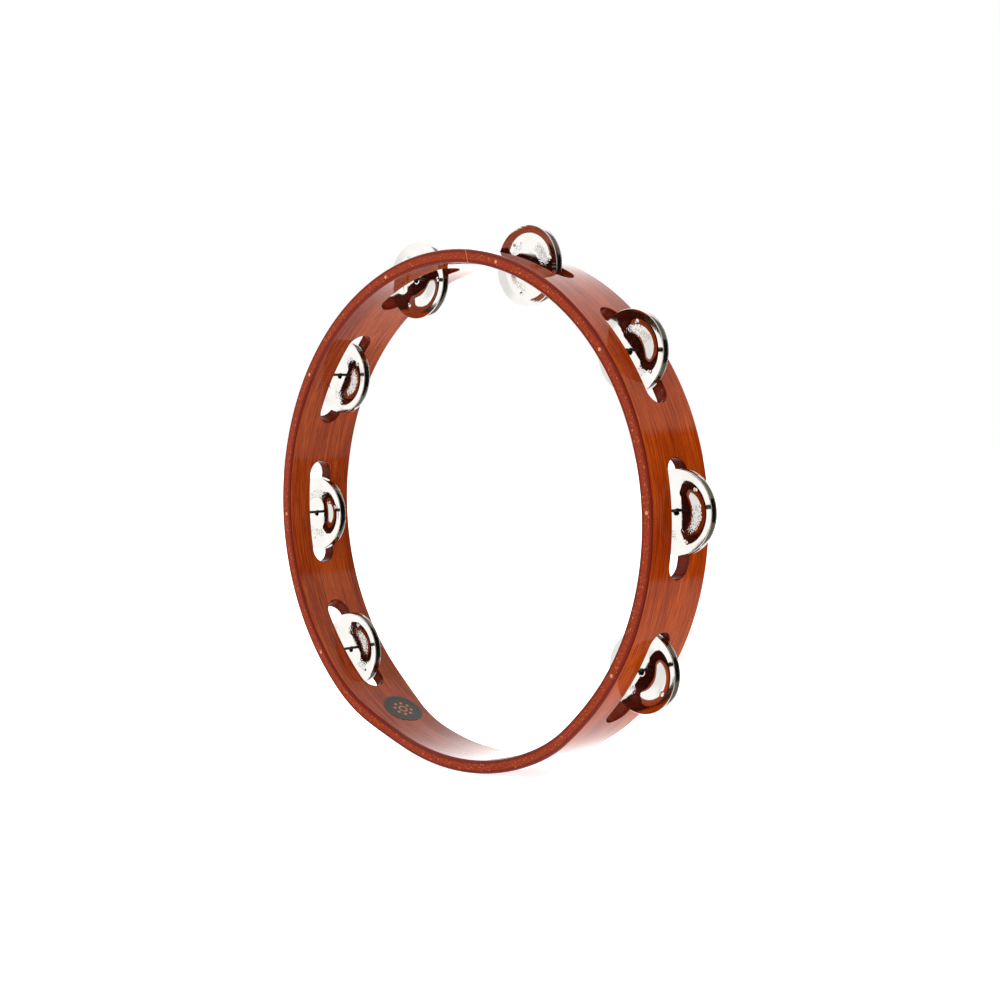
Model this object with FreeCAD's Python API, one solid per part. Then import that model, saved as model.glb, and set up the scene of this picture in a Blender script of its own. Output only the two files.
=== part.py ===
"""A headless tambourine: a laminated wooden hoop with eight pairs of nickel-plated jingles.

Units are millimetres. The hoop stands upright with its axis along Y and its front edge facing -Y.
The origin is the lowest point of the rim, under the middle of the hoop, and +Z is up.
Angles run about the hoop's axis from +X towards +Z.
"""
import FreeCAD, Part
import math
import os

from FreeCAD import Vector

# Hoop
HOOP_DIAMETER = 254.0
HOOP_WIDTH = 40.8
WALL = 6.66
VENEER = 1.4
EDGE_ROUND = 1.2

# Grip: both edges of the hoop are waisted at the bottom, where the hand holds it
WAIST_DEPTH = 4.84
WAIST_HALF = 86.7
WAIST_FLAT_HALF = 45.0
WAIST_LEAD = 0.03

# Jingle slots, straight through the wall
SLOT_COUNT = 8
SLOT_LENGTH = 54.4
SLOT_WIDTH = 13.2
SLOT_STEP = 36.3
SLOT_ROW_MIDDLE = 89.1

# Pins, driven through the front edge and across the slots
PIN_RADIUS = 0.7
PIN_LENGTH = 34.0
PIN_POINT = 2.0
PIN_HEAD_RADIUS = 0.9
PIN_HEAD_LENGTH = 0.6
PIN_SUNK = 0.15
PIN_STEP = 36.0
PIN_ROW_MIDDLE = 90.0

# Jingles, pressed from sheet with a raised middle, a groove round it and a turned-up rim
JINGLE_RADIUS = 19.4
JINGLE_SHEET = 0.5
JINGLE_HOLE = 1.5
BOSS_RADIUS = 8.6
BOSS_HEIGHT = 1.4
GROOVE_INNER = 12.4
GROOVE_OUTER = 15.0
RIM_HEIGHT = 1.4
BEND_RADIUS = 6.0
PAIR_Y = 2.8
PAIR_GAP = 0.2
HANG_CLEARANCE = 0.05

# Round label on the inside of the wall
LABEL_RADIUS = 10.4
LABEL_SHEET = 0.2
LABEL_ANGLE = 238.6
LABEL_Y = 2.2

# Worked out from the sizes above
HOOP_RADIUS = HOOP_DIAMETER / 2
INNER_RADIUS = HOOP_RADIUS - WALL
PIN_CIRCLE = HOOP_RADIUS - WALL / 2
HALF_WIDTH = HOOP_WIDTH / 2
HOOP_CENTRE = Vector(0, 0, HOOP_RADIUS)
Y_AXIS = Vector(0, 1, 0)
Z_AXIS = Vector(0, 0, 1)
HANG = JINGLE_HOLE - PIN_RADIUS - HANG_CLEARANCE
OVERSIZE = 2.0


def outward(degrees):
    """Unit vector from the hoop's axis towards the wall at this angle."""
    angle = math.radians(degrees)
    return Vector(math.cos(angle), 0, math.sin(angle))


def row_angle(index, step, middle):
    """Angle of one of the eight stations of a row."""
    return middle + step * (index - (SLOT_COUNT - 1) / 2)


def arc(start, middle, end):
    return Part.Arc(start, middle, end).toShape()


def line(start, end):
    return Part.LineSegment(start, end).toShape()


# ---------------------------------------------------------------- hoop

def waist_ramp(side, edge_y, deep_y):
    """S-shaped ramp of two equal arcs, from the hoop's edge (at the waist's end) to its full depth."""
    run = WAIST_HALF - WAIST_FLAT_HALF
    rise = abs(deep_y - edge_y)
    towards = math.copysign(1.0, deep_y - edge_y)
    radius = (run * run + rise * rise) / (4 * rise)
    half_turn = math.asin(run / 2 / radius) / 2
    across = radius * math.sin(half_turn)
    along = radius * (1 - math.cos(half_turn))
    ends = (Vector(side * WAIST_HALF, edge_y, 0), Vector(side * WAIST_FLAT_HALF, deep_y, 0))
    middle = (ends[0] + ends[1]) * 0.5
    on_first = ends[0] + Vector(-side * across, towards * along, 0)
    on_second = ends[1] + Vector(side * across, -towards * along, 0)
    return [arc(ends[0], on_first, middle), arc(middle, on_second, ends[1])]


def waist_cutter(face):
    """Prism that waists one edge of the hoop: face is -1 for the front edge and +1 for the rear."""
    edge_y = face * (HALF_WIDTH + WAIST_LEAD)
    deep_y = face * (HALF_WIDTH - WAIST_DEPTH)
    out_y = face * (HALF_WIDTH + OVERSIZE)
    left = waist_ramp(-1, edge_y, deep_y)
    right = waist_ramp(1, edge_y, deep_y)
    deep = line(Vector(-WAIST_FLAT_HALF, deep_y, 0), Vector(WAIST_FLAT_HALF, deep_y, 0))
    corners = [Vector(side * WAIST_HALF, y, 0) for side, y in
               ((1, edge_y), (1, out_y), (-1, out_y), (-1, edge_y))]
    outside = [line(a, b) for a, b in zip(corners, corners[1:])]
    wire = Part.Wire(Part.__sortEdges__(left + [deep] + right + outside))
    prism = Part.Face(wire).extrude(Vector(0, 0, HOOP_RADIUS / 2 + OVERSIZE))
    prism.translate(Vector(0, 0, -OVERSIZE))
    return prism


def slot_cutter(angle):
    """Straight slot with round ends, pointing along one radius of the hoop."""
    half_straight = (SLOT_LENGTH - SLOT_WIDTH) / 2
    half_width = SLOT_WIDTH / 2
    tips = [Vector(0, -half_width, half_straight), Vector(0, half_width, half_straight),
            Vector(0, half_width, -half_straight), Vector(0, -half_width, -half_straight)]
    top = Vector(0, 0, SLOT_LENGTH / 2)
    wire = Part.Wire([arc(tips[0], top, tips[1]), line(tips[1], tips[2]),
                      arc(tips[2], -top, tips[3]), line(tips[3], tips[0])])
    prism = Part.Face(wire).extrude(Vector(WALL + 4 * OVERSIZE, 0, 0))
    prism.translate(Vector(INNER_RADIUS - 2 * OVERSIZE, 0, 0))
    prism.rotate(Vector(0, 0, 0), Y_AXIS, -angle)
    prism.translate(HOOP_CENTRE)
    return prism


def plain_ring(outer, inner):
    """Full-width ring between two radii."""
    front = HOOP_CENTRE - Y_AXIS * HALF_WIDTH
    ring = Part.makeCylinder(outer, HOOP_WIDTH, front, Y_AXIS)
    return ring.cut(Part.makeCylinder(inner, HOOP_WIDTH, front, Y_AXIS))


def edge_radius(edge):
    """Distance of an edge's middle from the hoop's axis."""
    middle = edge.valueAt((edge.FirstParameter + edge.LastParameter) / 2)
    return math.hypot(middle.x - HOOP_CENTRE.x, middle.z - HOOP_CENTRE.z)


def rounded_rims(ply, radius):
    """Round the two rims of a ply that lie at this radius."""
    rims = [edge for edge in ply.Edges
            if abs(edge_radius(edge) - radius) < 0.01 and abs(edge.BoundBox.YLength) < HALF_WIDTH]
    return ply.makeFillet(EDGE_ROUND, rims)


def make_ply(outer, inner, round_at, holes):
    """One layer of the laminated hoop, with its waist, its rounded rims, its slots and its holes."""
    ply = plain_ring(outer, inner)
    for face in (-1, 1):
        ply = ply.cut(waist_cutter(face))
    if round_at:
        ply = rounded_rims(ply, round_at)
    for hole in holes:
        ply = ply.cut(hole)
    return ply


# ---------------------------------------------------------------- pins

def make_pin(angle):
    """Headed pin with a point, its head a little below the front edge of the hoop."""
    head_y = -HALF_WIDTH + PIN_SUNK
    neck_y = head_y + PIN_HEAD_LENGTH
    point_y = head_y + PIN_LENGTH
    outline = [(0, head_y), (PIN_HEAD_RADIUS, head_y), (PIN_HEAD_RADIUS, neck_y), (PIN_RADIUS, neck_y),
               (PIN_RADIUS, point_y - PIN_POINT), (0, point_y), (0, head_y)]
    wire = Part.makePolygon([Vector(radius, y, 0) for radius, y in outline])
    pin = Part.Face(wire).revolve(Vector(0, 0, 0), Y_AXIS, 360)
    pin.translate(HOOP_CENTRE + outward(angle) * PIN_CIRCLE)
    return pin


# ---------------------------------------------------------------- jingles

def bend(corner, before, after, radius):
    """Tangent arc that rounds one corner of a path: its start, middle and end points."""
    back = (before - corner).normalize()
    ahead = (after - corner).normalize()
    half = back.getAngle(ahead) / 2
    reach = radius / math.tan(half)
    inwards = (back + ahead).normalize()
    centre = corner + inwards * (radius / math.sin(half))
    return corner + back * reach, centre - inwards * radius, corner + ahead * reach


def bent_sheet(corners, thickness):
    """Face of a bent sheet's section: a path with rounded corners, thickened along +Y."""
    edges = []
    start = corners[0]
    for before, corner, after in zip(corners, corners[1:], corners[2:]):
        first, middle, last = bend(corner, before, after, BEND_RADIUS)
        edges += [line(start, first), arc(first, middle, last)]
        start = last
    edges.append(line(start, corners[-1]))
    near = Part.Wire(edges)
    far = near.copy()
    far.translate(Y_AXIS * thickness)
    sides = [line(corners[i], corners[i] + Y_AXIS * thickness) for i in (0, -1)]
    return Part.Face(Part.Wire(Part.__sortEdges__(near.Edges + far.Edges + sides)))


def make_jingle(face, angle):
    """Pressed disc of one pair, with its raised middle outwards: face is -1 in front and +1 behind."""
    section = bent_sheet([Vector(JINGLE_HOLE, -BOSS_HEIGHT, 0), Vector(BOSS_RADIUS, -BOSS_HEIGHT, 0),
                          Vector(GROOVE_INNER, 0, 0), Vector(GROOVE_OUTER, 0, 0),
                          Vector(JINGLE_RADIUS, -RIM_HEIGHT, 0)], JINGLE_SHEET)
    disc = section.revolve(Vector(0, 0, 0), Y_AXIS, 360)
    disc.translate(Vector(0, -JINGLE_SHEET - PAIR_GAP / 2, 0))
    if face > 0:
        disc.rotate(Vector(0, 0, 0), Z_AXIS, 180)
    disc.translate(HOOP_CENTRE + outward(angle) * PIN_CIRCLE + Vector(0, PAIR_Y, -HANG))
    return disc


# ---------------------------------------------------------------- label

def make_label():
    """Thin round label that follows the inside of the wall."""
    shell = plain_ring(INNER_RADIUS, INNER_RADIUS - LABEL_SHEET)
    middle = HOOP_CENTRE + outward(LABEL_ANGLE) * (INNER_RADIUS - LABEL_RADIUS) + Y_AXIS * LABEL_Y
    punch = Part.makeCylinder(LABEL_RADIUS, 2 * LABEL_RADIUS, middle, outward(LABEL_ANGLE))
    return shell.common(punch)


def save(name, shape):
    solids = shape.Solids
    assert solids and all(solid.isValid() for solid in solids), name
    single = solids[0] if len(solids) == 1 else Part.makeCompound(solids)
    single.exportStep("parts/" + name + ".step")
    print(name, len(solids), round(shape.Volume, 1))


def main():
    os.makedirs("parts", exist_ok=True)
    slots = [slot_cutter(row_angle(i, SLOT_STEP, SLOT_ROW_MIDDLE)) for i in range(SLOT_COUNT)]
    pin_angles = [row_angle(i, PIN_STEP, PIN_ROW_MIDDLE) for i in range(SLOT_COUNT)]
    pins = [make_pin(angle) for angle in pin_angles]
    core_outer = HOOP_RADIUS - VENEER
    core_inner = INNER_RADIUS + VENEER
    save("outer_veneer", make_ply(HOOP_RADIUS, core_outer, HOOP_RADIUS, slots))
    save("core_ply", make_ply(core_outer, core_inner, None, slots + pins))
    save("inner_veneer", make_ply(core_inner, INNER_RADIUS, INNER_RADIUS, slots))
    save("label", make_label())
    for number, (angle, pin) in enumerate(zip(pin_angles, pins), start=1):
        save("pin_%d" % number, pin)
        save("front_jingle_%d" % number, make_jingle(-1, angle))
        save("rear_jingle_%d" % number, make_jingle(1, angle))


main()
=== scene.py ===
"""Looks of the headless wooden tambourine: lacquered hoop, nickel jingles, pins and round label."""
import math
import random

import bpy
from mathutils import Matrix, Vector


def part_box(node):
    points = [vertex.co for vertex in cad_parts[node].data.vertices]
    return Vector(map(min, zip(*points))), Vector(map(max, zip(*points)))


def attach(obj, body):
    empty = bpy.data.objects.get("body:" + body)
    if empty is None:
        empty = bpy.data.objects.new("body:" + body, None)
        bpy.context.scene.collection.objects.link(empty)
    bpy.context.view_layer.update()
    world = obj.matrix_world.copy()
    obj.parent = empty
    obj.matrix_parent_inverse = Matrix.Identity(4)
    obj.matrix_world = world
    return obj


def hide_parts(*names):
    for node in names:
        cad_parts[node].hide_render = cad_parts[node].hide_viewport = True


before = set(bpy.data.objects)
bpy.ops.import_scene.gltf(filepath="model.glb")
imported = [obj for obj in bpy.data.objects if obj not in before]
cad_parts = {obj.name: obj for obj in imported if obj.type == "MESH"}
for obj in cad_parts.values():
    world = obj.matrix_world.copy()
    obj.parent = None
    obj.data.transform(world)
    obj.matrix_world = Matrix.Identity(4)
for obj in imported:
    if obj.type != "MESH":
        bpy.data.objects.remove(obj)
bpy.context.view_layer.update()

MM = 0.001

# Hoop, as the frame has it
HOOP_RADIUS = 127.0 * MM
HALF_WIDTH = 20.4 * MM
WALL = 6.66 * MM
VENEER = 1.4 * MM
EDGE_ROUND = 1.2 * MM
INNER_RADIUS = HOOP_RADIUS - WALL
PIN_CIRCLE = HOOP_RADIUS - WALL / 2
HOOP_CENTRE = Vector((0, 0, HOOP_RADIUS))

# Grip
WAIST_DEPTH = 4.84 * MM
WAIST_HALF = 86.7 * MM
WAIST_FLAT_HALF = 45.0 * MM

# Slots and pins
STATIONS = 8
SLOT_HALF_LENGTH = 27.2 * MM
SLOT_HALF_WIDTH = 6.6 * MM
SLOT_HALF_STRAIGHT = SLOT_HALF_LENGTH - SLOT_HALF_WIDTH
SLOT_STEP = 36.3
SLOT_ROW_MIDDLE = 89.1
SLOT_LIP = 0.45 * MM
PIN_STEP = 36.0
PIN_ROW_MIDDLE = 90.0
PIN_HOLE = 0.9 * MM
PIN_HOLE_DEPTH = 0.7 * MM
PIN_HOLE_LIP = 0.12 * MM
PIN_LIP_HALFWAY = 0.3

# Jingles
JINGLE_RADIUS = 19.4 * MM
JINGLE_SHEET = 0.5 * MM
JINGLE_HOLE = 1.5 * MM
BOSS_RADIUS = 8.6 * MM
BOSS_HEIGHT = 1.4 * MM
GROOVE_INNER = 12.4 * MM
GROOVE_OUTER = 15.0 * MM
RIM_HEIGHT = 1.4 * MM
HALF_BEND = 1.1 * MM
PIP_CIRCLE = 13.9 * MM
PIP_RADIUS = 1.2 * MM
PIP_HEIGHT = 0.55 * MM
PIP_COUNT = 3
STIPPLE_INNER = 8.4 * MM
STIPPLE_OUTER = 12.6 * MM

# The seam where the bent plies meet, a little left of the top
SEAM_ANGLE = 81.0


def row_angle(index, step, middle):
    """Angle of one of the eight stations of a row, in degrees."""
    return middle + step * (index - (STATIONS - 1) / 2)


def outward(angle):
    """Unit vector from the hoop's axis towards the wall; angle in radians from +X towards +Z."""
    return Vector((math.cos(angle), 0, math.sin(angle)))


def along(angle):
    """Unit vector round the hoop at this angle, towards larger angles."""
    return Vector((-math.sin(angle), 0, math.cos(angle)))


# ---------------------------------------------------------------- meshes

class Skin:
    """A mesh under construction. Points that coincide are shared; each corner keeps its own normal."""

    WELD = 1e-7

    def __init__(self):
        self.places = []
        self.known = {}
        self.faces = []
        self.normals = []

    def index(self, place):
        key = tuple(round(value / self.WELD) for value in place)
        if key not in self.known:
            self.known[key] = len(self.places)
            self.places.append(place)
        return self.known[key]

    def face(self, corners):
        """Add one face; corners are (place, normal), and the winding follows the normals."""
        ring = []
        for place, normal in corners:
            index = self.index(place)
            if not ring or index != ring[-1][0]:
                ring.append((index, normal))
        if ring[0][0] == ring[-1][0]:
            ring.pop()
        if len(ring) < 3:
            return
        first, second, last = (self.places[ring[i][0]] for i in (0, 1, -1))
        if (second - first).cross(last - first).dot(ring[0][1]) < 0:
            ring.reverse()
        self.faces.append([index for index, _ in ring])
        self.normals += [normal for _, normal in ring]

    def patch(self, rows, closed=False, skip=()):
        """Quads between rows of corners; closed joins each row's end to its start."""
        for j, (low, high) in enumerate(zip(rows, rows[1:])):
            if j in skip:
                continue
            steps = list(zip(low, low[1:], high[1:], high))
            if closed:
                steps.append((low[-1], low[0], high[0], high[-1]))
            for corners in steps:
                self.face(corners)

    def object(self, name, materials):
        mesh = bpy.data.meshes.new(name)
        mesh.from_pydata(self.places, [], self.faces)
        mesh.polygons.foreach_set("use_smooth", [True] * len(mesh.polygons))
        mesh.normals_split_custom_set(self.normals)
        for material in materials:
            mesh.materials.append(material)
        made = bpy.data.objects.new(name, mesh)
        bpy.context.scene.collection.objects.link(made)
        return made


# ---------------------------------------------------------------- hoop

EDGE_STEPS = 6
FACE_STEPS = 4
SECTOR_COLUMNS = 40
GRIP_COLUMNS = 76
WIDTH_STEPS = 16
SLOT_RINGS = 9
RING_CROWDING = 1.3
SLOPE_STEP = 0.002
LIP_STEPS = 4
WALL_STEPS = 3
PIN_BLOCK = 4


def half_width(place):
    """Half of the hoop's width at this place: less at the bottom, where both edges are waisted."""
    reach = WAIST_HALF - abs(place.x)
    run = WAIST_HALF - WAIST_FLAT_HALF
    if place.z > HOOP_RADIUS or reach <= 0:
        return HALF_WIDTH
    if reach >= run:
        return HALF_WIDTH - WAIST_DEPTH
    radius = (run * run + WAIST_DEPTH * WAIST_DEPTH) / (4 * WAIST_DEPTH)
    if reach < run / 2:
        return HALF_WIDTH - (radius - math.sqrt(radius * radius - reach * reach))
    rest = run - reach
    return HALF_WIDTH - WAIST_DEPTH + (radius - math.sqrt(radius * radius - rest * rest))


def on_wall(angle, radius):
    """Point at this angle and radius, half-way between the hoop's two edges."""
    return HOOP_CENTRE + outward(angle) * radius


def width_slope(angle, radius):
    """How fast the half-width changes round the hoop, from SLOPE_STEP radians to each side."""
    ahead = half_width(on_wall(angle + SLOPE_STEP, radius))
    behind = half_width(on_wall(angle - SLOPE_STEP, radius))
    return (ahead - behind) / (2 * SLOPE_STEP * radius)


def edge_column(angle, side):
    """Corners across one edge of the hoop, from the outer surface to the inner; side is -1 in front."""
    column = []

    def corner(radius, inset, radial, axial):
        place = on_wall(angle, radius)
        y = side * (half_width(place) - inset)
        facing = Vector((0, side, 0)) - along(angle) * width_slope(angle, radius)
        normal = outward(angle) * radial + facing.normalized() * axial
        column.append((place + Vector((0, y, 0)), normal.normalized()))

    for k in range(EDGE_STEPS + 1):
        turn = math.pi / 2 * k / EDGE_STEPS
        corner(HOOP_RADIUS - EDGE_ROUND * (1 - math.cos(turn)), EDGE_ROUND * (1 - math.sin(turn)),
               math.cos(turn), math.sin(turn))
    for k in range(1, FACE_STEPS):
        flat = WALL - 2 * EDGE_ROUND
        corner(HOOP_RADIUS - EDGE_ROUND - flat * k / FACE_STEPS, 0, 0, 1)
    for k in range(EDGE_STEPS + 1):
        turn = math.pi / 2 * (1 - k / EDGE_STEPS)
        corner(INNER_RADIUS + EDGE_ROUND * (1 - math.cos(turn)), EDGE_ROUND * (1 - math.sin(turn)),
               -math.cos(turn), math.sin(turn))
    return column


def pin_hole(skin, columns, first, pin_angle):
    """Fill the block of the front face round one pin with rings that end in a small round hole."""
    low = EDGE_STEPS
    high = EDGE_STEPS + FACE_STEPS
    last = first + PIN_BLOCK
    border = [columns[first][k] for k in range(low, high)]
    border += [columns[c][high] for c in range(first, last)]
    border += [columns[last][k] for k in range(high, low, -1)]
    border += [columns[c][low] for c in range(last, first, -1)]
    middle = on_wall(pin_angle, PIN_CIRCLE)
    face_y = border[0][0].y
    facing = Vector((0, -1, 0))

    def ring(radius, depth, tilt):
        made = []
        for place, _ in border:
            away = Vector((place.x - middle.x, 0, place.z - middle.z)).normalized()
            normal = facing * math.cos(tilt) - away * math.sin(tilt)
            made.append((middle + away * radius + Vector((0, face_y + depth, 0)), normal))
        return made

    halfway = PIN_LIP_HALFWAY * PIN_HOLE_LIP
    rim = ring(PIN_HOLE + PIN_HOLE_LIP, 0, 0)
    skin.patch([border, rim], closed=True)
    skin.patch([rim, ring(PIN_HOLE + halfway, halfway, math.pi / 4),
                ring(PIN_HOLE, PIN_HOLE_LIP, math.pi / 2),
                ring(PIN_HOLE, PIN_HOLE_DEPTH, math.pi / 2)], closed=True)


def edge_strip(skin, angles, side, pin_angles):
    """One edge of the hoop over a run of angles, with the pins' holes in the front edge."""
    columns = [edge_column(angle, side) for angle in angles]
    flat = slice(EDGE_STEPS, EDGE_STEPS + FACE_STEPS + 1)
    skin.patch([column[:EDGE_STEPS + 1] for column in columns])
    skin.patch([column[EDGE_STEPS + FACE_STEPS:] for column in columns])
    holes = []
    for pin_angle in pin_angles:
        nearest = min(range(len(angles)), key=lambda c: abs(angles[c] - pin_angle))
        first = nearest - PIN_BLOCK // 2
        holes += range(first, first + PIN_BLOCK)
        pin_hole(skin, columns, first, pin_angle)
    skin.patch([column[flat] for column in columns], skip=holes)


def slot_point(bearing, spread):
    """Point of a slot's outline, grown by spread, that a border point at this bearing faces."""
    t, y = bearing
    pivot = max(-SLOT_HALF_STRAIGHT, min(SLOT_HALF_STRAIGHT, t))
    away = Vector((t - pivot, y)).normalized()
    return Vector((pivot, 0)) + away * (SLOT_HALF_WIDTH + spread), away


def slot_border(angles, radius):
    """The border of a slotted sector on one surface: front, right side, rear, then left side."""
    def y_at(angle):
        return half_width(on_wall(angle, radius)) - EDGE_ROUND

    first, last = angles[0], angles[-1]
    border = [(a, -y_at(a)) for a in angles[:-1]]
    border += [(last, y_at(last) * (2 * k / WIDTH_STEPS - 1)) for k in range(WIDTH_STEPS)]
    border += [(a, y_at(a)) for a in reversed(angles[1:])]
    border += [(first, y_at(first) * (1 - 2 * k / WIDTH_STEPS)) for k in range(WIDTH_STEPS)]
    return border


def slot_sector(skin, angles, slot_angle):
    """Outer and inner surface round one slot, and the slot's own wall with its rounded lips."""
    bearings = [((a - slot_angle) * PIN_CIRCLE, y) for a, y in slot_border(angles, PIN_CIRCLE)]

    def wall_corner(bearing, radius, spread, radial, inward):
        (t, y), away = slot_point(bearing, spread)
        angle = slot_angle + math.asin(t / radius)
        place = on_wall(angle, radius) + Vector((0, y, 0))
        into = -(along(slot_angle) * away.x + Vector((0, away.y, 0)))
        return place, (outward(angle) * radial + into * inward).normalized()

    def lip(radius, towards):
        """Rounded lip of the slot at one surface, from the surface to the wall."""
        rows = []
        for k in range(LIP_STEPS + 1):
            turn = math.pi / 2 * k / LIP_STEPS
            depth = radius - towards * SLOT_LIP * (1 - math.cos(turn))
            spread = SLOT_LIP * (1 - math.sin(turn))
            rows.append([wall_corner(b, depth, spread, towards * math.cos(turn), math.sin(turn))
                         for b in bearings])
        return rows

    for radius, towards in ((HOOP_RADIUS, 1), (INNER_RADIUS, -1)):
        border = slot_border(angles, radius)
        starts = [slot_point(b, SLOT_LIP)[0] for b in bearings]
        rows = []
        for ring in range(SLOT_RINGS + 1):
            share = (ring / SLOT_RINGS) ** RING_CROWDING
            row = []
            for (angle, y), start in zip(border, starts):
                near = slot_angle + math.asin(start.x / radius)
                here = near + (angle - near) * share
                place = on_wall(here, radius) + Vector((0, start.y + (y - start.y) * share, 0))
                row.append((place, outward(here) * towards))
            rows.append(row)
        skin.patch(rows, closed=True)
    outer = lip(HOOP_RADIUS, 1)
    inner = lip(INNER_RADIUS, -1)
    deep = WALL - 2 * SLOT_LIP
    walls = [[wall_corner(b, HOOP_RADIUS - SLOT_LIP - deep * k / WALL_STEPS, 0, 0, 1) for b in bearings]
             for k in range(WALL_STEPS + 1)]
    for rows in (outer, walls, inner):
        skin.patch(rows, closed=True)


def grip_sector(skin, angles):
    """Outer and inner surface of the plain sector at the bottom."""
    for radius, towards in ((HOOP_RADIUS, 1), (INNER_RADIUS, -1)):
        rows = []
        for angle in angles:
            edge = half_width(on_wall(angle, radius)) - EDGE_ROUND
            rows.append([(on_wall(angle, radius) + Vector((0, edge * (2 * k / WIDTH_STEPS - 1), 0)),
                          outward(angle) * towards) for k in range(WIDTH_STEPS + 1)])
        skin.patch(rows)


def spread_angles(start, end, steps):
    """Angles at even steps from start to end, with both."""
    return [start + (end - start) * k / steps for k in range(steps + 1)]


def make_hoop(material):
    """One skin for the three plies: eight slotted sectors and the plain one at the grip."""
    skin = Skin()
    pins = [math.radians(row_angle(i, PIN_STEP, PIN_ROW_MIDDLE)) for i in range(STATIONS)]
    half_step = math.radians(SLOT_STEP / 2)
    for i in range(STATIONS):
        slot_angle = math.radians(row_angle(i, SLOT_STEP, SLOT_ROW_MIDDLE))
        angles = spread_angles(slot_angle - half_step, slot_angle + half_step, SECTOR_COLUMNS)
        slot_sector(skin, angles, slot_angle)
        edge_strip(skin, angles, -1, [pins[i]])
        edge_strip(skin, angles, 1, [])
    row_start = math.radians(row_angle(0, SLOT_STEP, SLOT_ROW_MIDDLE)) - half_step
    row_end = math.radians(row_angle(STATIONS - 1, SLOT_STEP, SLOT_ROW_MIDDLE)) + half_step
    angles = spread_angles(row_end, row_start + 2 * math.pi, GRIP_COLUMNS)
    grip_sector(skin, angles)
    for side in (-1, 1):
        edge_strip(skin, angles, side, [])
    hoop = skin.object("hoop", [material])
    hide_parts("outer_veneer", "core_ply", "inner_veneer")
    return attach(hoop, "hoop")


# ---------------------------------------------------------------- jingles

SEED = 11
JINGLE_TURNS = 240
RIM_STEPS = 6
FLAT_STEP = 0.6 * MM
FLAT_MARGIN = 0.5 * MM
BENT_STEP = 0.25 * MM
RIM_MARGIN = 0.3 * MM
STIPPLE_PATCHES = 3
STIPPLE_HALF_TURN = (0.5, 0.8)
STIPPLE_DEPTH = 0.07 * MM


def bent(radius, corner):
    """0 before a bend, then a smooth turn to a slope of 1 after it."""
    past = radius - corner
    if past <= -HALF_BEND:
        return 0.0
    if past >= HALF_BEND:
        return past
    return (past + HALF_BEND) ** 2 / (4 * HALF_BEND)


def jingle_height(radius):
    """Height of the sheet's outer face above the groove: raised in the middle and at the rim."""
    fall = BOSS_HEIGHT / (GROOVE_INNER - BOSS_RADIUS)
    rise = RIM_HEIGHT / (JINGLE_RADIUS - GROOVE_OUTER)
    cone = fall * (bent(radius, BOSS_RADIUS) - bent(radius, GROOVE_INNER))
    return BOSS_HEIGHT - cone + rise * bent(radius, GROOVE_OUTER)


def jingle_radii():
    """Radii of the rings between the hole and the rim, close together beyond the flat middle."""
    radii = []
    radius = JINGLE_HOLE
    while radius < JINGLE_RADIUS - RIM_MARGIN:
        radii.append(radius)
        radius += FLAT_STEP if radius < BOSS_RADIUS - HALF_BEND - FLAT_MARGIN else BENT_STEP
    return radii


def pip_rise(radius, turn):
    """Height of the small raised pips, a third of a turn apart."""
    third = 2 * math.pi / PIP_COUNT
    nearest = round(turn / third) * third
    distance = math.hypot(radius - PIP_CIRCLE, PIP_CIRCLE * (turn - nearest))
    if distance >= PIP_RADIUS:
        return 0.0
    return PIP_HEIGHT * (0.5 + 0.5 * math.cos(math.pi * distance / PIP_RADIUS))


def closed_mesh(name, rows):
    """Smooth mesh of rings of points, the last joined to the first."""
    turns = len(rows[0])
    faces = []
    for j in range(len(rows)):
        low = j * turns
        high = (j + 1) % len(rows) * turns
        for k in range(turns):
            ahead = (k + 1) % turns
            faces.append((low + k, low + ahead, high + ahead, high + k))
    mesh = bpy.data.meshes.new(name)
    mesh.from_pydata([place for row in rows for place in row], [], faces)
    mesh.polygons.foreach_set("use_smooth", [True] * len(mesh.polygons))
    return mesh


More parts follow.
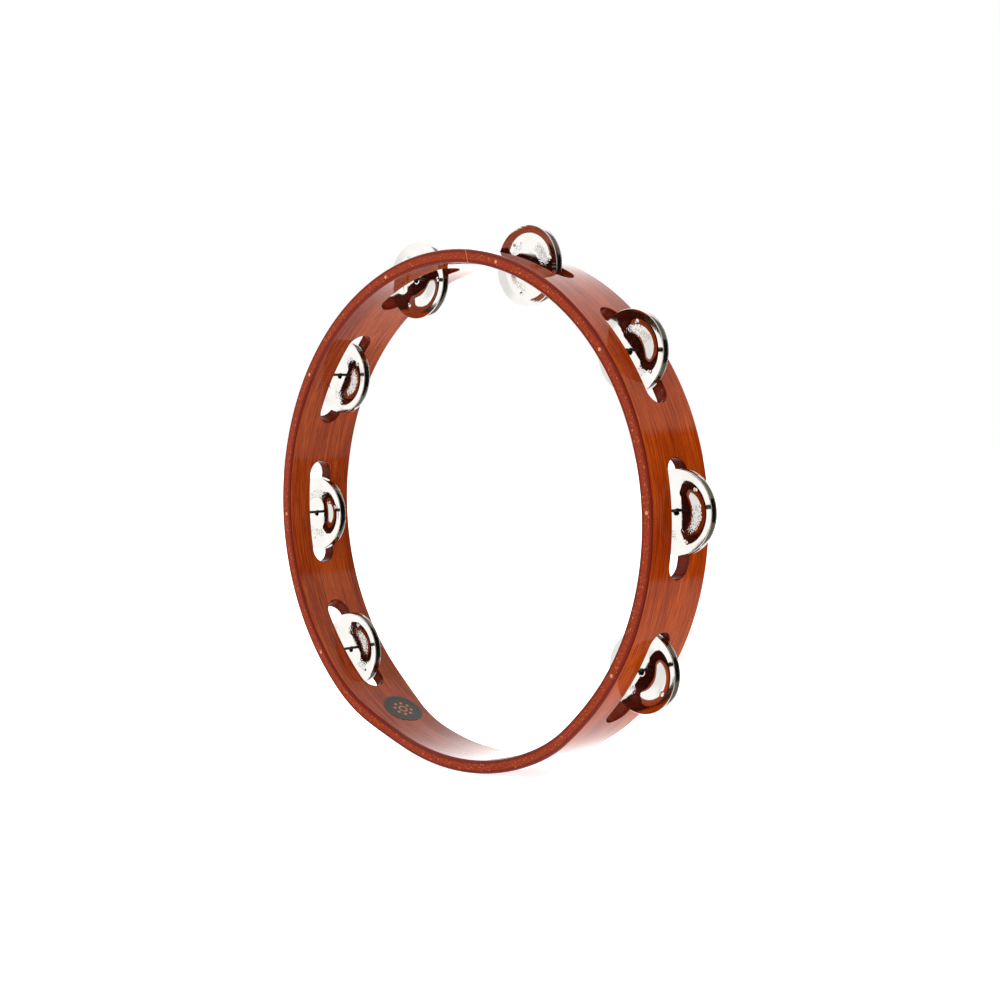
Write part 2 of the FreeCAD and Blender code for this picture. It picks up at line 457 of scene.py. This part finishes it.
def make_jingle(node, material, dice):
    """Replace one CAD disc by a closed mesh with the pips and the hammered patches pressed into it."""
    low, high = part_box(node)
    in_front = node.startswith("front")
    middle = (low + high) / 2
    valley_y = low.y + BOSS_HEIGHT if in_front else high.y - BOSS_HEIGHT
    towards = -1 if in_front else 1
    spin = dice.uniform(0, 2 * math.pi)
    patches = [(dice.uniform(0, 2 * math.pi), dice.uniform(*STIPPLE_HALF_TURN))
               for _ in range(STIPPLE_PATCHES)]
    dents = []

    def stipple(radius, turn):
        if not STIPPLE_INNER < radius < STIPPLE_OUTER:
            return 0.0
        for patch, half in patches:
            if abs((turn - patch + math.pi) % (2 * math.pi) - math.pi) < half:
                return dice.uniform(-1, 1) * STIPPLE_DEPTH
        return 0.0

    def ring(radius, height, rough=False):
        row = []
        for k in range(JINGLE_TURNS):
            turn = 2 * math.pi * k / JINGLE_TURNS
            dent = stipple(radius, turn) if rough else 0.0
            dents.append(max(0.0, -dent / STIPPLE_DEPTH))
            rise = height + pip_rise(radius, turn + spin) + dent
            row.append((middle.x + radius * math.cos(turn), valley_y + towards * rise,
                        middle.z + radius * math.sin(turn)))
        return row

    radii = jingle_radii()
    lip = JINGLE_SHEET / 2
    centre = JINGLE_RADIUS - lip
    rows = [ring(radius, jingle_height(radius), True) for radius in radii]
    for k in range(RIM_STEPS + 1):
        lean = math.pi * k / RIM_STEPS
        height = jingle_height(centre) - lip + lip * math.cos(lean)
        rows.append(ring(centre + lip * math.sin(lean), height))
    rows += [ring(radius, jingle_height(radius) - JINGLE_SHEET) for radius in reversed(radii)]
    mesh = closed_mesh(node + "_disc", rows)
    mesh.attributes.new("pressed", "FLOAT", "POINT").data.foreach_set("value", dents)
    mesh.materials.append(material)
    made = bpy.data.objects.new(node + "_disc", mesh)
    bpy.context.scene.collection.objects.link(made)
    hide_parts(node)
    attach(made, node)


def make_jingles(material):
    dice = random.Random(SEED)
    for number in range(1, STATIONS + 1):
        make_jingle("front_jingle_%d" % number, material, dice)
        make_jingle("rear_jingle_%d" % number, material, dice)


# ---------------------------------------------------------------- materials

# Colours, linear
WHITE = (1, 1, 1)
GRAIN_DARK = (0.15, 0.014, 0.001)
GRAIN_MIDDLE = (0.26, 0.032, 0.0018)
GRAIN_LIGHT = (0.33, 0.052, 0.004)
PORE_COLOUR = (0.07, 0.005, 0.001)
INSIDE_TINT = (0.86, 0.95, 2.2)
CUT_DARK = (0.12, 0.01, 0.003)
CUT_MIDDLE = (0.18, 0.02, 0.005)
CUT_LIGHT = (0.25, 0.04, 0.01)
CUT_SPECK = (0.6, 0.24, 0.1)
# Painted shade on the rounded corners of the cut faces, standing in for their dark reflection
CORNER_PAINTED_SHADE = (0.09, 0.006, 0.002)
GLUE_LINE = (0.07, 0.006, 0.002)
SEAM_COLOUR = (0.4, 0.13, 0.06)
# Painted shade in the slots
SLOT_PAINTED_SHADE = (0.09, 0.01, 0.005)
NICKEL_LIGHT = (0.72, 0.705, 0.68)
NICKEL_DARK = (0.67, 0.65, 0.61)
# Painted shade in the pressed-in stipple
NICKEL_DENT_SHADE = (0.26, 0.25, 0.22)
STEEL_DARK = (0.34, 0.31, 0.27)
STEEL_LIGHT = (0.62, 0.59, 0.54)
PIN_HEAD = (0.42, 0.16, 0.08)
INK_DARK = (0.022, 0.021, 0.016)
INK_LIGHT = (0.045, 0.042, 0.034)
INK_RING = (0.02, 0.02, 0.02)
PRINT_BARE = (0.36, 0.11, 0.05)
FLOOR_COLOUR = (0.96, 0.96, 0.96)
WARM_WALL = (1, 0.93, 0.8)

# Wood grain: noise cells per metre round the hoop, then across it
BROAD_GRAIN = (9, 60)
STREAKS = (26, 1700)
FINE_GRAIN = (70, 4200)
PORES = (75, 3000)
END_GRAIN = (800, 2400)
END_SPECKS = (700, 1900)
COAT_WAVES = (18, 70)
COAT_RIPPLES = (16, 700)

# Where each wood effect starts and is full, and how strongly it then covers
PORE_EDGE = (0.55, 0.66)
PORE_SHARE = 0.85
SPECK_EDGE = (0.68, 0.74)
SPECK_SHARE = 0.7
# Corners of the cut faces that get the painted shade
CORNER_EDGE = (WALL / 2 - 2.4 * MM, WALL / 2 - 0.6 * MM)
GLUE_HALF_LINE = 0.05 * MM
GLUE_SOFTNESS = 0.15 * MM
GLUE_SHARE = 0.5
SEAM_EDGE = (0.06 * MM, 0.26 * MM)
SEAM_SLANT = 0.35
# Middle of the hoop's width, where the slot walls get the painted shade
SLOT_EDGE = (8 * MM, 10 * MM)
SLOT_SHADE_SHARE = 0.6

# Part of a face's normal that points away from the hoop's axis: below it, end grain and a thin coat
CUT_TURN = (0.84, 0.99)
THIN_COAT_TURN = (0.1, 0.5)

# Metal and print: noise cells per metre
SMUDGES = 140.0
SCRATCHES = (5200, 5200, 260)
UNEVENNESS = 700.0
WIRE_LINES = (6000, 120, 6000)
TARNISH = 900.0
GRIT = 2500.0
HEAD_EDGE = (-HALF_WIDTH + 0.3 * MM, -HALF_WIDTH + 0.6 * MM)

# Label print
DOT_CIRCLE = 4.6 * MM
DOT_RADIUS = 0.8 * MM
EYE_RADIUS = 2.1 * MM
EYE_HALF_LINE = 0.35 * MM
RING_RADIUS = 8.4 * MM
RING_HALF_LINE = 0.25 * MM
PRINT_SOFTNESS = 0.15 * MM


class Graph:
    """Short calls for building one node tree."""

    def __init__(self, tree):
        self.tree = tree
        tree.nodes.clear()

    def put(self, socket, value):
        if isinstance(value, bpy.types.NodeSocket):
            self.tree.links.new(value, socket)
        elif socket.type == "RGBA":
            socket.default_value = (*value, 1)
        elif value is not None:
            socket.default_value = value

    def node(self, kind, inputs=None, **settings):
        made = self.tree.nodes.new("ShaderNode" + kind)
        for name, value in settings.items():
            setattr(made, name, value)
        for name, value in (inputs or {}).items():
            self.put(made.inputs[name], value)
        return made

    def math(self, operation, a, b=None):
        return self.node("Math", {0: a, 1: b}, operation=operation).outputs[0]

    def add(self, a, b):
        return self.math("ADD", a, b)

    def times(self, a, b):
        return self.math("MULTIPLY", a, b)

    def less(self, a, b):
        return self.math("SUBTRACT", a, b)

    def hypotenuse(self, a, b):
        return self.math("SQRT", self.add(self.times(a, a), self.times(b, b)))

    def vector(self, operation, a, b=None):
        made = self.node("VectorMath", {0: a, 1: b}, operation=operation)
        return made.outputs["Value" if operation == "DOT_PRODUCT" else "Vector"]

    def combine(self, x, y, z):
        return self.node("CombineXYZ", {0: x, 1: y, 2: z}).outputs[0]

    def between(self, value, low, high):
        """Smooth step from 0 at low to 1 at high."""
        made = self.node("MapRange", {0: value, 1: low, 2: high}, interpolation_type="SMOOTHSTEP")
        return made.outputs[0]

    def fading(self, value, low, high):
        """Smooth step from 1 at low to 0 at high."""
        return self.less(1.0, self.between(value, low, high))

    def line(self, value, middle, half, softness):
        """1 where the value is within half of the middle, 0 beyond the softness."""
        return self.fading(self.math("ABSOLUTE", self.less(value, middle)), half, half + softness)

    def noise(self, vector, scale, detail=3.0, roughness=0.55):
        inputs = {"Vector": vector, "Scale": scale, "Detail": detail, "Roughness": roughness}
        return self.node("TexNoise", inputs).outputs[0]

    def mix(self, share, a, b, kind="MIX"):
        made = self.node("Mix", data_type="RGBA", blend_type=kind)
        self.put(made.inputs[0], share)
        self.put(made.inputs[6], a)
        self.put(made.inputs[7], b)
        return made.outputs[2]

    def ramp(self, value, stops):
        made = self.node("ValToRGB", {0: value})
        elements = made.color_ramp.elements
        while len(elements) < len(stops):
            elements.new(0.5)
        for element, (position, colour) in zip(elements, stops):
            element.position = position
            element.color = (*colour, 1)
        return made.outputs[0]

    def bump(self, strength, distance, height):
        made = self.node("Bump", {"Strength": strength, "Distance": distance, "Height": height})
        return made.outputs[0]


def new_material(name):
    material = bpy.data.materials.new(name)
    material.use_nodes = True
    return material, Graph(material.node_tree)


def finish_material(graph, shader):
    graph.node("OutputMaterial", {"Surface": shader.outputs[0]})


def grain_colour(g, radius, tone, pores):
    """Colour of the veneers' faces: stained grain with dark pores, less yellow inside the hoop."""
    colour = g.ramp(tone, [(0.4, GRAIN_DARK), (0.5, GRAIN_MIDDLE), (0.6, GRAIN_LIGHT)])
    colour = g.mix(g.times(g.between(pores, *PORE_EDGE), PORE_SHARE), colour, PORE_COLOUR)
    inside = g.fading(radius, PIN_CIRCLE - 1 * MM, PIN_CIRCLE + 1 * MM)
    return g.mix(inside, colour, INSIDE_TINT, kind="MULTIPLY")


def cut_colour(g, stretched, radius, arc, across):
    """Colour of the cut edges and slot walls: end grain, glue lines, the seam, and painted shade along
    the corners and in the slots.
    """
    end_noise = g.noise(stretched(END_GRAIN), 1.0, 3.0, 0.7)
    colour = g.ramp(end_noise, [(0.36, CUT_DARK), (0.5, CUT_MIDDLE), (0.64, CUT_LIGHT)])
    specks = g.between(g.noise(stretched(END_SPECKS), 1.0, 1.0), *SPECK_EDGE)
    colour = g.mix(g.times(specks, SPECK_SHARE), colour, CUT_SPECK)
    # Painted shade: the corners of the cut faces are darkened, standing in for the dark reflection on
    # the rounded edges
    off_middle = g.math("ABSOLUTE", g.less(radius, PIN_CIRCLE))
    colour = g.mix(g.between(off_middle, *CORNER_EDGE), colour, CORNER_PAINTED_SHADE)
    for joint_radius in (HOOP_RADIUS - VENEER, INNER_RADIUS + VENEER):
        joint = g.line(radius, joint_radius, GLUE_HALF_LINE, GLUE_SOFTNESS)
        colour = g.mix(g.times(joint, GLUE_SHARE), colour, GLUE_LINE)
    slant = g.times(g.less(radius, PIN_CIRCLE), SEAM_SLANT)
    turn_end = g.less(g.times(PIN_CIRCLE, math.pi), g.math("ABSOLUTE", arc))
    seam = g.math("ABSOLUTE", g.add(turn_end, g.times(slant, g.math("SIGN", arc))))
    colour = g.mix(g.fading(seam, *SEAM_EDGE), colour, SEAM_COLOUR)
    # Painted shade: the slot walls are darkened as if in shadow
    in_slot = g.fading(g.math("ABSOLUTE", across), *SLOT_EDGE)
    return g.mix(g.times(in_slot, SLOT_SHADE_SHARE), colour, SLOT_PAINTED_SHADE)


def wood_material():
    """Reddish-brown stained plywood under gloss lacquer, with its grain running round the hoop."""
    material, g = new_material("lacquered_wood")
    place = g.node("TexCoord").outputs["Object"]
    turned = g.node("Mapping", {"Vector": g.vector("SUBTRACT", place, tuple(HOOP_CENTRE)),
                                "Rotation": (0, math.radians(SEAM_ANGLE - 180), 0)}).outputs[0]
    x, y, z = g.node("SeparateXYZ", {0: turned}).outputs
    radius = g.hypotenuse(x, z)
    arc = g.times(g.math("ARCTAN2", z, x), PIN_CIRCLE)
    flat = g.combine(arc, y, radius)

    def stretched(cells):
        round_scale, across_scale = cells
        return g.vector("MULTIPLY", flat, (round_scale, across_scale, across_scale))

    broad = g.noise(stretched(BROAD_GRAIN), 1.0, 2.0)
    streaks = g.noise(stretched(STREAKS), 1.0, 4.0, 0.65)
    fine = g.noise(stretched(FINE_GRAIN), 1.0, 2.0, 0.6)
    pores = g.noise(stretched(PORES), 1.0, 2.0)
    tone = g.add(g.times(streaks, 0.6), g.times(broad, 0.4))
    tone = g.add(tone, g.times(g.less(fine, 0.5), 0.4))

    normal = g.node("NewGeometry").outputs["Normal"]
    away = g.node("Mapping", {"Vector": g.vector("SUBTRACT", place, tuple(HOOP_CENTRE)),
                              "Scale": (1, 0, 1)}).outputs[0]
    radial = g.math("ABSOLUTE", g.vector("DOT_PRODUCT", normal, g.vector("NORMALIZE", away)))
    colour = g.mix(g.fading(radial, *CUT_TURN), grain_colour(g, radius, tone, pores),
                   cut_colour(g, stretched, radius, arc, y))

    relief = g.add(g.times(streaks, 0.7), g.times(pores, 0.3))
    ripples = g.times(g.noise(stretched(COAT_RIPPLES), 1.0, 2.0), 0.12)
    waves = g.add(g.noise(stretched(COAT_WAVES), 1.0, 1.0), ripples)
    flat_cut = g.fading(radial, *THIN_COAT_TURN)
    shader = g.node("BsdfPrincipled", {
        "Base Color": colour,
        "Roughness": g.add(0.42, g.times(fine, 0.16)),
        "Normal": g.bump(0.25, 0.1 * MM, relief),
        "Specular IOR Level": 0.0,
        "Coat Weight": g.less(0.9, g.times(flat_cut, 0.6)),
        "Coat Roughness": 0.05,
        "Coat IOR": 1.34,
        "Coat Normal": g.bump(0.2, 0.6 * MM, waves)})
    finish_material(g, shader)
    return material


def nickel_material():
    """Bright nickel plate with smudges and faint scratches, and painted shade where the stipple is
    pressed in.
    """
    material, g = new_material("nickel_plate")
    place = g.node("TexCoord").outputs["Object"]
    smudge = g.noise(place, SMUDGES, 3.0)
    scratch = g.noise(g.vector("MULTIPLY", place, SCRATCHES), 1.0, 2.0)
    rough = g.add(0.035, g.times(g.between(smudge, 0.4, 0.75), 0.09))
    rough = g.add(rough, g.times(g.between(scratch, 0.62, 0.75), 0.08))
    tint = g.ramp(smudge, [(0.3, NICKEL_LIGHT), (0.7, NICKEL_DARK)])
    pressed = g.node("Attribute", attribute_name="pressed").outputs["Fac"]
    # Painted shade: where the stipple is pressed in, the tint is darker, standing in for shade in the
    # dents
    tint = g.mix(g.between(pressed, 0.1, 0.8), tint, NICKEL_DENT_SHADE)
    height = g.add(g.noise(place, UNEVENNESS, 2.0), g.times(scratch, 0.2))
    shader = g.node("BsdfPrincipled", {
        "Base Color": tint,
        "Metallic": 1.0,
        "Roughness": rough,
        "Normal": g.bump(0.12, 0.08 * MM, height)})
    finish_material(g, shader)
    return material


def pin_material():
    """Drawn steel wire with fine lines and a little tarnish; its head in front is stained like wood."""
    material, g = new_material("pin_steel")
    place = g.node("TexCoord").outputs["Object"]
    lines = g.noise(g.vector("MULTIPLY", place, WIRE_LINES), 1.0, 2.0)
    tarnish = g.noise(place, TARNISH, 3.0)
    steel = g.ramp(tarnish, [(0.35, STEEL_DARK), (0.65, STEEL_LIGHT)])
    depth = g.node("SeparateXYZ", {0: place}).outputs[1]
    head = g.fading(depth, *HEAD_EDGE)
    shader = g.node("BsdfPrincipled", {
        "Base Color": g.mix(head, steel, PIN_HEAD),
        "Metallic": g.less(1.0, head),
        "Roughness": g.add(0.22, g.times(tarnish, 0.3)),
        "Normal": g.bump(0.2, 0.05 * MM, lines)})
    finish_material(g, shader)
    return material


def label_material():
    """Dark round print with a plain ring, a circle of eight dots and an eye, under a satin coat."""
    material, g = new_material("label_print")
    low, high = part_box("label")
    middle = (low + high) / 2
    turn = math.atan2(middle.z - HOOP_RADIUS, middle.x)
    place = g.vector("SUBTRACT", g.node("TexCoord").outputs["Object"], tuple(middle))
    across = g.vector("DOT_PRODUCT", place, tuple(along(turn)))
    depth = g.node("SeparateXYZ", {0: place}).outputs[1]
    radius = g.hypotenuse(across, depth)
    step = 2 * math.pi / STATIONS
    bearing = g.math("ARCTAN2", depth, across)
    folded = g.less(g.math("FLOORED_MODULO", bearing, step), step / 2)
    from_dot = g.hypotenuse(g.less(g.times(radius, g.math("COSINE", folded)), DOT_CIRCLE),
                            g.times(radius, g.math("SINE", folded)))
    dots = g.fading(from_dot, DOT_RADIUS, DOT_RADIUS + PRINT_SOFTNESS)
    eye = g.line(radius, EYE_RADIUS, EYE_HALF_LINE, PRINT_SOFTNESS)
    ring = g.line(radius, RING_RADIUS, RING_HALF_LINE, PRINT_SOFTNESS)
    grit = g.noise(place, GRIT, 3.0)
    ink = g.ramp(grit, [(0.3, INK_DARK), (0.7, INK_LIGHT)])
    colour = g.mix(g.math("MAXIMUM", dots, eye), ink, PRINT_BARE)
    shader = g.node("BsdfPrincipled", {
        "Base Color": g.mix(ring, colour, INK_RING),
        "Roughness": g.add(0.4, g.times(grit, 0.2)),
        "Normal": g.bump(0.15, 0.05 * MM, grit),
        "Specular IOR Level": 0.0,
        "Coat Weight": 0.5,
        "Coat Roughness": 0.12})
    finish_material(g, shader)
    return material


def give(node, material):
    """Put a material on a CAD node that stays."""
    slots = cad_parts[node].data.materials
    slots.clear()
    slots.append(material)


# ---------------------------------------------------------------- studio

CAMERA_AZIMUTH = 44.932
CAMERA_ELEVATION = 2.027
CAMERA_DISTANCE = 0.8718
CAMERA_YAW = -0.728
CAMERA_PITCH = -0.337
CAMERA_ROLL = -2.195
CAMERA_LENS = 63.8
CAMERA_REACH = 50

# What mirrored rays see. Each part is (left, right, low, high, softness) in degrees, with azimuths
# counted to the left of the camera's stand, and is dimmed by its share.
RIGHT_WALL = (-135, -50, -60, 60, 8)
RIGHT_WALL_DIMMED = 0.36
LEFT_WALL = (30, 72, -30, 34, 8)
LEFT_WALL_DIMMED = 0.2
CEILING = (-60, 60, 38, 84, 5)
CEILING_DIMMED = 0.75
DARK_BAND = (-125, -70, -21, 20, 1.5)
DARK_FRONT = (-52, 27, -62, 62, 3)
DARK_DIMMED = 0.97
STUDIO_LIGHT = 1.4
BACKDROP_EDGE = (130, 145)
BACKDROP_GLARE = 1.6
BACKDROP_FALL = 1.9
BACKDROP_LIFT = (18, 46)
# The world reads a ray depth of 2 after one mirror and of 3 after two
SECOND_MIRROR = (2.2, 2.8)
SECOND_MIRROR_DIMMED = 0.75

FLOOR_HALF = 12.0
FLOOR_GLOW = 0.82


def facing(azimuth, elevation):
    """Right, up and back vectors of a camera that looks back along this direction."""
    a = math.radians(azimuth)
    e = math.radians(elevation)
    back = Vector((math.sin(a) * math.cos(e), -math.cos(a) * math.cos(e), math.sin(e)))
    right = Vector((math.cos(a), math.sin(a), 0))
    return right, back.cross(right), back


def make_camera():
    camera = bpy.data.objects.new("camera", bpy.data.cameras.new("camera"))
    camera.data.lens = CAMERA_LENS
    camera.data.clip_end = CAMERA_REACH
    stand = facing(CAMERA_AZIMUTH, CAMERA_ELEVATION)[2] * CAMERA_DISTANCE + HOOP_CENTRE
    right, up, back = facing(CAMERA_AZIMUTH + CAMERA_YAW, CAMERA_ELEVATION + CAMERA_PITCH)
    roll = Matrix.Rotation(math.radians(CAMERA_ROLL), 3, "Z")
    pose = Matrix((right, up, back)).transposed() @ roll
    camera.matrix_world = Matrix.Translation(stand) @ pose.to_4x4()
    bpy.context.scene.collection.objects.link(camera)
    bpy.context.scene.camera = camera


def window(g, azimuth, elevation, part):
    """1 inside a part of the studio, 0 outside."""
    left, right, low, high, soft = part
    inside = g.times(g.between(azimuth, left - soft, left + soft),
                     g.fading(azimuth, right - soft, right + soft))
    inside = g.times(inside, g.between(elevation, low - soft, low + soft))
    return g.times(inside, g.fading(elevation, high - soft, high + soft))


def dimmed(g, light, mask, share):
    """The light, less this share of it where the mask is 1."""
    return g.times(light, g.less(1.0, g.times(mask, share)))


def make_world():
    """Even white for all light but mirrored rays, which see a studio with bright and dark parts."""
    world = bpy.data.worlds.new("studio")
    world.use_nodes = True
    g = Graph(world.node_tree)
    right, _, back = facing(CAMERA_AZIMUTH, 0)
    direction = g.vector("NORMALIZE", g.node("TexCoord").outputs["Generated"])
    ahead = g.vector("DOT_PRODUCT", direction, tuple(back))
    side = g.vector("DOT_PRODUCT", direction, tuple(-right))
    azimuth = g.math("DEGREES", g.math("ARCTAN2", side, ahead))
    height = g.node("SeparateXYZ", {0: direction}).outputs[2]
    elevation = g.math("DEGREES", g.math("ARCSINE", height))

    backdrop = g.between(g.math("ABSOLUTE", azimuth), *BACKDROP_EDGE)
    lifted = g.between(g.math("ABSOLUTE", elevation), *BACKDROP_LIFT)
    glare = g.less(BACKDROP_GLARE, g.times(lifted, BACKDROP_FALL))
    light = g.add(STUDIO_LIGHT, g.times(backdrop, glare))
    right_wall = window(g, azimuth, elevation, RIGHT_WALL)
    light = dimmed(g, light, right_wall, RIGHT_WALL_DIMMED)
    light = dimmed(g, light, window(g, azimuth, elevation, LEFT_WALL), LEFT_WALL_DIMMED)
    light = dimmed(g, light, window(g, azimuth, elevation, CEILING), CEILING_DIMMED)
    dark = g.math("MAXIMUM", window(g, azimuth, elevation, DARK_BAND),
                  window(g, azimuth, elevation, DARK_FRONT))
    light = dimmed(g, light, dark, DARK_DIMMED)

    rays = g.node("LightPath").outputs
    mirrored = rays["Is Glossy Ray"]
    light = dimmed(g, light, g.between(rays["Ray Depth"], *SECOND_MIRROR), SECOND_MIRROR_DIMMED)
    light = g.add(g.times(mirrored, light), g.less(1.0, mirrored))
    tint = g.mix(g.times(right_wall, mirrored), WHITE, WARM_WALL)
    shader = g.node("Background", {"Color": tint, "Strength": light})
    g.node("OutputWorld", {"Surface": shader.outputs[0]})
    bpy.context.scene.world = world


def make_floor():
    """Plain pale floor. Mirrored rays pass it, so lacquer and nickel mirror the studio alone."""
    material, g = new_material("floor")
    matt = g.node("BsdfDiffuse", {"Color": FLOOR_COLOUR})
    glow = g.node("Emission", {"Color": WHITE, "Strength": FLOOR_GLOW})
    white = g.node("AddShader", {0: matt.outputs[0], 1: glow.outputs[0]})
    clear = g.node("BsdfTransparent")
    mirrored = g.node("LightPath").outputs["Is Glossy Ray"]
    shader = g.node("MixShader", {0: mirrored, 1: white.outputs[0], 2: clear.outputs[0]})
    finish_material(g, shader)
    corners = [(x * FLOOR_HALF, y * FLOOR_HALF, 0) for x, y in ((-1, -1), (1, -1), (1, 1), (-1, 1))]
    mesh = bpy.data.meshes.new("floor")
    mesh.from_pydata(corners, [], [(0, 1, 2, 3)])
    mesh.materials.append(material)
    floor = bpy.data.objects.new("floor", mesh)
    bpy.context.scene.collection.objects.link(floor)


def make_light(name, azimuth, elevation, distance, size, power):
    """Soft square light that faces the hoop; azimuth is to the left of the camera's stand."""
    data = bpy.data.lights.new(name, "AREA")
    data.size = size
    data.energy = power
    back = facing(CAMERA_AZIMUTH - azimuth, elevation)[2]
    light = bpy.data.objects.new(name, data)
    light.location = HOOP_CENTRE + back * distance
    light.rotation_mode = "QUATERNION"
    light.rotation_quaternion = back.to_track_quat("Z", "Y")
    light.visible_glossy = False
    bpy.context.scene.collection.objects.link(light)


# ---------------------------------------------------------------- assembly

make_camera()
make_world()
make_floor()
make_light("overhead", azimuth=20, elevation=72, distance=1.2, size=1.0, power=7.0)
make_light("front_left", azimuth=60, elevation=20, distance=1.4, size=0.8, power=4.0)
bpy.context.scene.view_settings.view_transform = "Standard"

make_hoop(wood_material())
make_jingles(nickel_material())
pin_steel = pin_material()
for number in range(1, STATIONS + 1):
    give("pin_%d" % number, pin_steel)
give("label", label_material())
